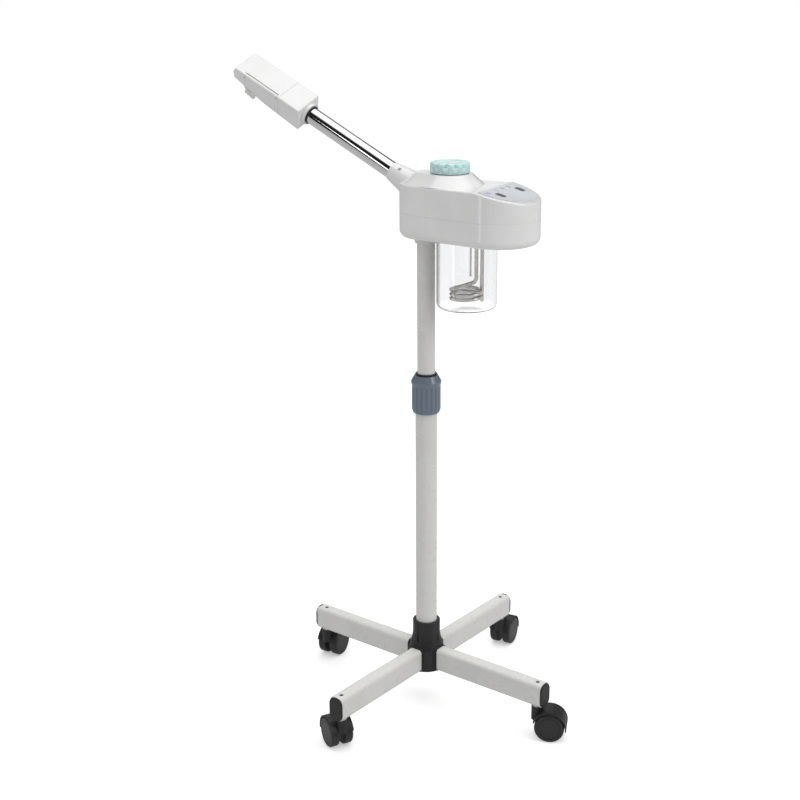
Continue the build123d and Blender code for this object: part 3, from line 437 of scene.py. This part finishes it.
def buildKnob():
    look = knobLook
    top, radius, rim = look["height"], look["radius"], look["rimRound"]
    lobeStart = radius * look["lobeStart"]
    lobeSpan = radius * (look["lobeFull"] - look["lobeStart"])

    def lobed(r, height, angle):
        # flutes fade out towards the middle and above the plain skirt
        if r < lobeStart:
            return r
        strength = min(1.0, max(0.0, (r - lobeStart) / lobeSpan))
        fade = min(1.0, max(0.0, (height - look["skirt"]) / look["skirtFade"]))
        wave = abs(cos(look["lobes"] * angle / 2)) ** 0.8
        return r - look["lobeDepth"] * strength * fade * (1 - wave)

    foot = radius * look["footShare"]
    profile = [(foot, 0.0), (radius, 0.0008), (radius, 0.0020)]
    profile += [(radius, rim + (top - 2 * rim) * n / 5) for n in range(6)]
    profile += [(radius - rim * (1 - cos(radians(15 * n))), top - rim + rim * sin(radians(15 * n)))
                for n in range(1, 7)]
    floorLevel = top - look["dish"]
    profile += [(radius * 0.80, top), (radius * 0.77, top - 0.0004), (radius * 0.74, floorLevel),
                (radius * 0.4, floorLevel), (radius * 0.1, floorLevel)]
    bm = bmesh.new()
    lathe(bm, profile, look["lobes"] * 14, lobed)
    underside = min(bm.faces, key=lambda f: f.calc_center_median().z if len(f.verts) > 4 else 1)
    bmesh.ops.inset_region(bm, faces=[underside], thickness=foot - look["hole"])
    raised = bmesh.ops.extrude_face_region(bm, geom=[underside])
    for item in raised["geom"]:
        if isinstance(item, bmesh.types.BMVert):
            item.co.z += look["holeDepth"]
    bmesh.ops.delete(bm, geom=[underside], context="FACES_ONLY")
    low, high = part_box("fill_cap")
    place = Matrix.Translation(((low.x + high.x) / 2, (low.y + high.y) / 2, low.z))
    knob = makePiece("capKnob", bm, "mintPlastic", "cap", place)
    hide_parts("fill_cap")


buildKnob()
print("cap built")


# Printed signs and key surrounds on the control panel, in its own axes

panelLook = {"x": 0.123, "z": 0.906, "slope": 14.4}
signLook = {
    "lift": 0.0012, "height": 0.00022, "sunk": 0.0001, "keyX": 0.026, "keyY": 0.032,
    "markStep": 0.004, "markSide": 0.0085, "markSize": (0.0022, 0.0011, 0.0004),
    "surround": (0.0168, 0.0118, 0.0030), "surroundInner": (0.0152, 0.0102, 0.0026),
    "wispX": 0.0065, "wispY": -0.020, "wispStep": 0.0032, "wispWidth": 0.0005,
    "dial": (0.010, 0.004), "dialRadii": (0.0034, 0.0027),
    "dialHand": (0.010, 0.0066, 0.0009, 0.0034, 0.0003),
    "bubbleX": 0.0075, "bubbleY": 0.022, "bubbleStep": 0.0032, "bubbleRise": 0.0018,
    "bubbleRadii": (0.0016, 0.0011),
    "label": (0.0115, -0.047, 0.0075, 0.0125, 0.0008),
}


def buildSigns():
    look = signLook
    slope = radians(panelLook["slope"])
    place = frameMatrix((panelLook["x"], 0, panelLook["z"]),
                        (cos(slope), 0, -sin(slope)), (sin(slope), 0, cos(slope)))
    levels = look["lift"] - look["sunk"], look["lift"] + look["height"]
    bm = bmesh.new()
    for side in (-1, 1):
        y = side * look["keyY"]
        for mark in (-1, 0, 1):  # level marks beside each key
            closedPlate(bm, roundedRect(look["keyX"] + mark * look["markStep"],
                                        y + side * look["markSide"], *look["markSize"]), *levels)
        ringPlate(bm, roundedRect(look["keyX"], y, *look["surround"]),
                  roundedRect(look["keyX"], y, *look["surroundInner"]), *levels)
    for n in range(3):  # wisps of steam
        x = look["wispX"] + n * look["wispStep"]
        wisp = [(x + 0.0006 * sin(k * 1.3), look["wispY"] + 0.0012 * k) for k in range(6)]
        strip(bm, wisp, look["wispWidth"], *levels)
    ringPlate(bm, *(circlePoints(*look["dial"], radius) for radius in look["dialRadii"]), *levels)
    closedPlate(bm, roundedRect(*look["dialHand"]), *levels)
    for n in range(3):  # bubbles
        middle = look["bubbleX"] + look["bubbleStep"] * n, look["bubbleY"] + look["bubbleRise"] * (n % 2)
        ringPlate(bm, *(circlePoints(*middle, radius, 14) for radius in look["bubbleRadii"]), *levels)
    makePiece("panelSigns", bm, "iconGrey", "head", place, smooth=False)
    bm = bmesh.new()
    closedPlate(bm, roundedRect(*look["label"]), *levels)
    makePiece("panelLabel", bm, "iconViolet", "head", place, smooth=False)


buildSigns()
print("panel signs built")


# Screw that holds the arm in its socket: domed head with a four-armed recess

armLook = {"x": -0.062, "z": 0.919, "tilt": 27.5}
socketScrewLook = {
    "along": -0.016, "turn": -38.0, "radius": 0.0028, "height": 0.0014, "sunk": 0.0003,
    "socketEnd": 0.0153, "socketFlare": 0.0225, "socketLength": 0.040,
}


def buildSocketScrew():
    look = socketScrewLook
    radius, height = look["radius"], look["height"]

    def recessed(r, level, angle):
        return r * (0.72 + 0.28 * abs(cos(2 * angle))) if r < radius * 0.5 else r

    profile = [(radius, 0.0), (radius, height * 0.35)]
    profile += [(radius * cos(radians(15 * n)), height * (0.35 + 0.65 * sin(radians(15 * n))))
                for n in range(1, 4)]
    profile += [(radius * 0.46, height * 0.96), (radius * 0.42, height * 0.5), (radius * 0.1, height * 0.4)]
    bm = bmesh.new()
    lathe(bm, profile, 32, recessed)

    # the head leans with the socket's cone
    tilt, turn = radians(armLook["tilt"]), radians(look["turn"])
    along = Vector((-cos(tilt), 0, sin(tilt)))
    up = Vector((sin(tilt), 0, cos(tilt)))
    outward = Vector((0, 1, 0)) * sin(turn) + up * cos(turn)
    flare = (look["socketFlare"] - look["socketEnd"]) / look["socketLength"]
    reach = look["socketEnd"] - flare * look["along"]
    start = Vector((armLook["x"], 0, armLook["z"]))
    spot = start + along * look["along"] + outward * (reach - look["sunk"])
    lean = (outward + along * flare).normalized()
    place = frameMatrix(spot, along.cross(lean), lean)
    makePiece("socketScrew", bm, "steel", "head", place)


buildSocketScrew()
print("screw built")


# Floor: bright where it is seen, calmer as a light source for the underside

stageLook = {"floorSize": 60.0, "seenColor": (0.93, 0.93, 0.93, 1), "bounceColor": (0.42, 0.42, 0.42, 1),
             "seenGlow": 0.36, "bounceGlow": 0.16}


def makeFloor():
    mesh = bpy.data.meshes.new("floor")
    half = stageLook["floorSize"] / 2
    corners = [(-half, -half, 0), (half, -half, 0), (half, half, 0), (-half, half, 0)]
    mesh.from_pydata(corners, [], [(0, 1, 2, 3)])
    floor = bpy.data.objects.new("floor", mesh)
    scene.collection.objects.link(floor)
    material, tree, shader = newMaterial("floorPaper")
    coords = addNode(tree, "ShaderNodeTexCoord").outputs["Object"]
    fibre = addNoise(tree, coords, 3.0, 3.0, 0.5)
    rays = addNode(tree, "ShaderNodeLightPath")
    seen = addMath(tree, "MAXIMUM", rays.outputs["Is Camera Ray"], rays.outputs["Is Transmission Ray"])
    base = stageLook["seenColor"]
    paper = addMix(tree, fibre, base, tuple(c * 0.99 for c in base))
    tree.links.new(addMix(tree, seen, stageLook["bounceColor"], paper), shader.inputs["Base Color"])
    glow = addRange(tree, seen, 0.0, 1.0, stageLook["bounceGlow"], stageLook["seenGlow"])
    tree.links.new(glow, shader.inputs["Emission Strength"])
    shader.inputs["Roughness"].default_value = 0.9
    shader.inputs["Emission Color"].default_value = (1, 1, 1, 1)
    mesh.materials.append(material)


makeFloor()

lightLook = {
    # name: place, aim, width, height, watts
    "keyRight": ((2.7, 0.1, 1.7), (0.1, 0, 0.7), 1.2, 1.8, 20),
    "stripLeft": ((-0.95, -2.35, 0.95), (0, 0, 0.75), 0.22, 1.9, 3.0),
    "topSoft": ((0.2, 0.3, 3.0), (0, 0, 0.5), 2.6, 2.6, 16),
    "backRim": ((-1.4, 2.0, 1.6), (0, 0, 0.8), 1.4, 1.6, 5),
}
for name, (place, aim, width, height, watts) in lightLook.items():
    light = bpy.data.lights.new(name, "AREA")
    light.shape = "RECTANGLE"
    light.size, light.size_y, light.energy = width, height, watts
    lamp = bpy.data.objects.new(name, light)
    lamp.location = place
    lamp.rotation_euler = (Vector(aim) - Vector(place)).to_track_quat("-Z", "Y").to_euler()
    scene.collection.objects.link(lamp)

# Sky: white where it is seen, a soft dome for light, and a dark band low down in glossy reflections
skyLook = {"horizon": 0.29, "top": 1.0, "bandTop": 0.80, "bandSoft": 0.06, "bandShade": 0.02}


def makeSky():
    look = skyLook
    world = bpy.data.worlds.new("studio")
    world.use_nodes = True
    scene.world = world
    sky = world.node_tree
    path = addNode(sky, "ShaderNodeLightPath")
    direction = addNode(sky, "ShaderNodeSeparateXYZ")
    sky.links.new(addNode(sky, "ShaderNodeTexCoord").outputs["Generated"], direction.inputs[0])
    height = direction.outputs["Z"]
    dome = addRange(sky, height, 0.0, 1.0, look["horizon"], look["top"])
    band = addRange(sky, height, look["bandTop"], look["bandTop"] + look["bandSoft"], look["bandShade"], 1.0)
    seen = addMath(sky, "MAXIMUM", path.outputs["Is Camera Ray"], path.outputs["Is Transmission Ray"])
    shade = addNode(sky, "ShaderNodeMix", data_type="FLOAT")
    sky.links.new(path.outputs["Is Glossy Ray"], shade.inputs[0])
    sky.links.new(dome, shade.inputs[2])
    sky.links.new(addMath(sky, "MULTIPLY", dome, band), shade.inputs[3])
    grey = addNode(sky, "ShaderNodeCombineColor")
    for socket in grey.inputs:
        sky.links.new(shade.outputs[0], socket)
    background = sky.nodes["Background"]
    background.inputs["Strength"].default_value = 1.0
    sky.links.new(addMix(sky, seen, grey.outputs[0], (1.0, 1.0, 1.0, 1)), background.inputs["Color"])


makeSky()

# angles in degrees, sensor in millimetres; focal and across are in one unit
cameraLook = {"distance": 2.2, "height": 1.2403, "side": -60.0, "turn": 1.13, "pitch": 17.53, "tilt": -0.4,
              "focal": 1395.2, "across": 800.0, "sensor": 36.0}


def makeCamera():
    look = cameraLook
    camera = bpy.data.objects.new("camera", bpy.data.cameras.new("camera"))
    camera.data.sensor_width = look["sensor"]
    camera.data.lens = look["focal"] * look["sensor"] / look["across"]
    side = radians(look["side"])
    camera.location = (look["distance"] * cos(side), look["distance"] * sin(side), look["height"])
    aim = Euler((radians(90 - look["pitch"]), 0, side + pi / 2 + radians(look["turn"])))
    tilted = aim.to_matrix() @ Matrix.Rotation(radians(look["tilt"]), 3, "Z")
    camera.rotation_euler = tilted.to_euler()
    scene.collection.objects.link(camera)
    scene.camera = camera


makeCamera()
scene.view_settings.view_transform = "Standard"
print("stage ready")
